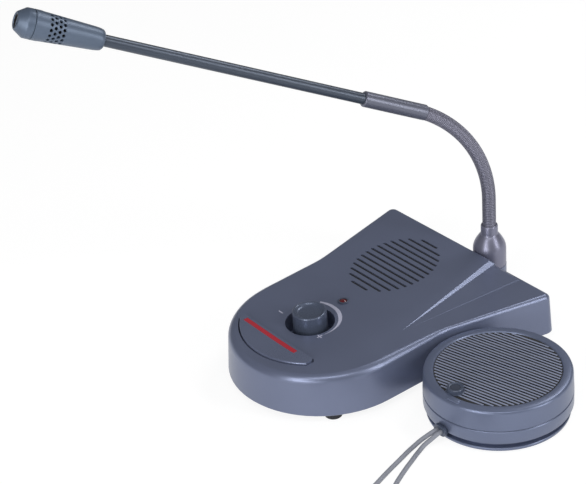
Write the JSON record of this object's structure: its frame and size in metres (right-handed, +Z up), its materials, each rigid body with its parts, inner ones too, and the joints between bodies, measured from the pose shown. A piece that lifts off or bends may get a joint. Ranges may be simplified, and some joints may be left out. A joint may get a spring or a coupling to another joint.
{
  "type": "teller window intercom",
  "caption": "Teller window intercom: desk unit with talk key, volume knob and gooseneck microphone, and a round wired speaker for the customer's side.",
  "frame": {"origin": "on the counter, under the middle of the whole assembly without its cables", "axes": "+Z up; +X to the clerk's right, towards the round speaker; -Y towards the clerk, so the gooseneck stands at the rear"},
  "size_m": [0.3271, 0.3223, 0.2694],
  "materials": {
    "housing": "satin",
    "key": "satin",
    "knob": "satin",
    "dark_plastic": "satin",
    "puck_shell": "satin",
    "rubber": "matte",
    "steel": "brushed",
    "speaker_steel": "matte",
    "cone_paper": "matte",
    "cloth": "matte",
    "board": "gloss",
    "stripe_red": "satin",
    "led_red": "gloss",
    "neck_metal": "satin",
    "stem_metal": "satin",
    "capsule": "matte",
    "cable": "matte"
  },
  "bodies": {
    "desk_unit": {"upper_housing": "housing", "base_plate": "dark_plastic", "rubber_feet": "rubber", "housing_screws": "steel", "main_speaker_frame": "speaker_steel", "main_speaker_cone": "cone_paper", "main_speaker_magnet": "speaker_steel", "grille_cloth": "cloth", "circuit_board": "board", "volume_pot": "steel", "tact_switch": "dark_plastic", "key_return_dome": "rubber", "key_hinge_pin": "steel", "status_led": "led_red", "led_bezel": "dark_plastic", "dc_inlet": "dark_plastic", "line_jacks": "dark_plastic", "rear_socket_strip": "dark_plastic", "neck_socket": "steel", "neck_nut": "steel", "neck_boot": "housing", "puck_cover": "puck_shell", "puck_grille": "puck_shell", "puck_base": "dark_plastic", "puck_pad": "rubber", "puck_speaker_frame": "speaker_steel", "puck_speaker_magnet": "speaker_steel", "puck_mic_ring": "dark_plastic", "puck_mic_capsule": "capsule", "puck_screws": "steel", "cable_grommet": "rubber", "speaker_cord": "cable", "speaker_cord_coil": "cable", "speaker_plug": "cable", "mic_cord": "cable", "mic_cord_coil": "cable", "mic_plug": "cable"},
    "key": {"talk_key": "key", "key_stripe": "stripe_red"},
    "knob": {"volume_knob": "knob", "knob_shaft": "steel"},
    "neck": {"neck_root": "neck_metal"},
    "link_1": {"neck_link_1": "neck_metal"},
    "link_2": {"neck_link_2": "neck_metal"},
    "link_3": {"neck_link_3": "neck_metal"},
    "link_4": {"neck_link_4": "neck_metal"},
    "link_5": {"neck_link_5": "neck_metal"},
    "microphone": {"neck_link_6": "neck_metal", "stem_ferrule": "stem_metal", "stem_tube": "stem_metal", "mic_housing": "dark_plastic", "mic_cap": "dark_plastic", "mic_capsule": "steel", "mic_foam": "cloth"}
  },
  "joints": [
    {"name": "key_press", "type": "hinge", "parent": "desk_unit", "child": "key", "pos_m": [-0.0286, -0.03472, 0.0269], "axis": [1, 0, 0], "range_deg": [0, 3.4], "stiffness_Nm_per_rad": 0.45, "springref_deg": -2.29, "deforming": ["key_return_dome"]},
    {"name": "knob_turn", "type": "hinge", "parent": "desk_unit", "child": "knob", "pos_m": [-0.0356, -0.01322, 0.03], "axis": [0, 0, 1], "range_deg": [-140, 140]},
    {"name": "neck_swivel", "type": "hinge", "parent": "desk_unit", "child": "neck", "pos_m": [-0.0216, 0.13278, 0.04], "axis": [0, 0, 1], "range_deg": [-120, 120]},
    {"name": "neck_bend_1", "type": "hinge", "parent": "neck", "child": "link_1", "pos_m": [-0.0216, 0.13278, 0.07921], "axis": [0.9397, -0.342, 0], "range_deg": [-10.8, 5]},
    {"name": "neck_bend_2", "type": "hinge", "parent": "link_1", "child": "link_2", "pos_m": [-0.02266, 0.12987, 0.09535], "axis": [0.9397, -0.342, 0], "range_deg": [-10.8, 5]},
    {"name": "neck_bend_3", "type": "hinge", "parent": "link_2", "child": "link_3", "pos_m": [-0.02474, 0.12416, 0.11062], "axis": [0.9397, -0.342, 0], "range_deg": [-10.8, 5]},
    {"name": "neck_bend_4", "type": "hinge", "parent": "link_3", "child": "link_4", "pos_m": [-0.02776, 0.11586, 0.12446], "axis": [0.9397, -0.342, 0], "range_deg": [-10.8, 5]},
    {"name": "neck_bend_5", "type": "hinge", "parent": "link_4", "child": "link_5", "pos_m": [-0.03162, 0.10525, 0.1364], "axis": [0.9397, -0.342, 0], "range_deg": [-10.8, 5]},
    {"name": "neck_bend_6", "type": "hinge", "parent": "link_5", "child": "microphone", "pos_m": [-0.03618, 0.09272, 0.146], "axis": [0.9397, -0.342, 0], "range_deg": [-10.8, 5]}
  ],
  "couplings": [
    {"joint": "neck_bend_2", "follows": "neck_bend_1", "ratio": 1},
    {"joint": "neck_bend_3", "follows": "neck_bend_1", "ratio": 1},
    {"joint": "neck_bend_4", "follows": "neck_bend_1", "ratio": 1},
    {"joint": "neck_bend_5", "follows": "neck_bend_1", "ratio": 1},
    {"joint": "neck_bend_6", "follows": "neck_bend_1", "ratio": 1}
  ]
}
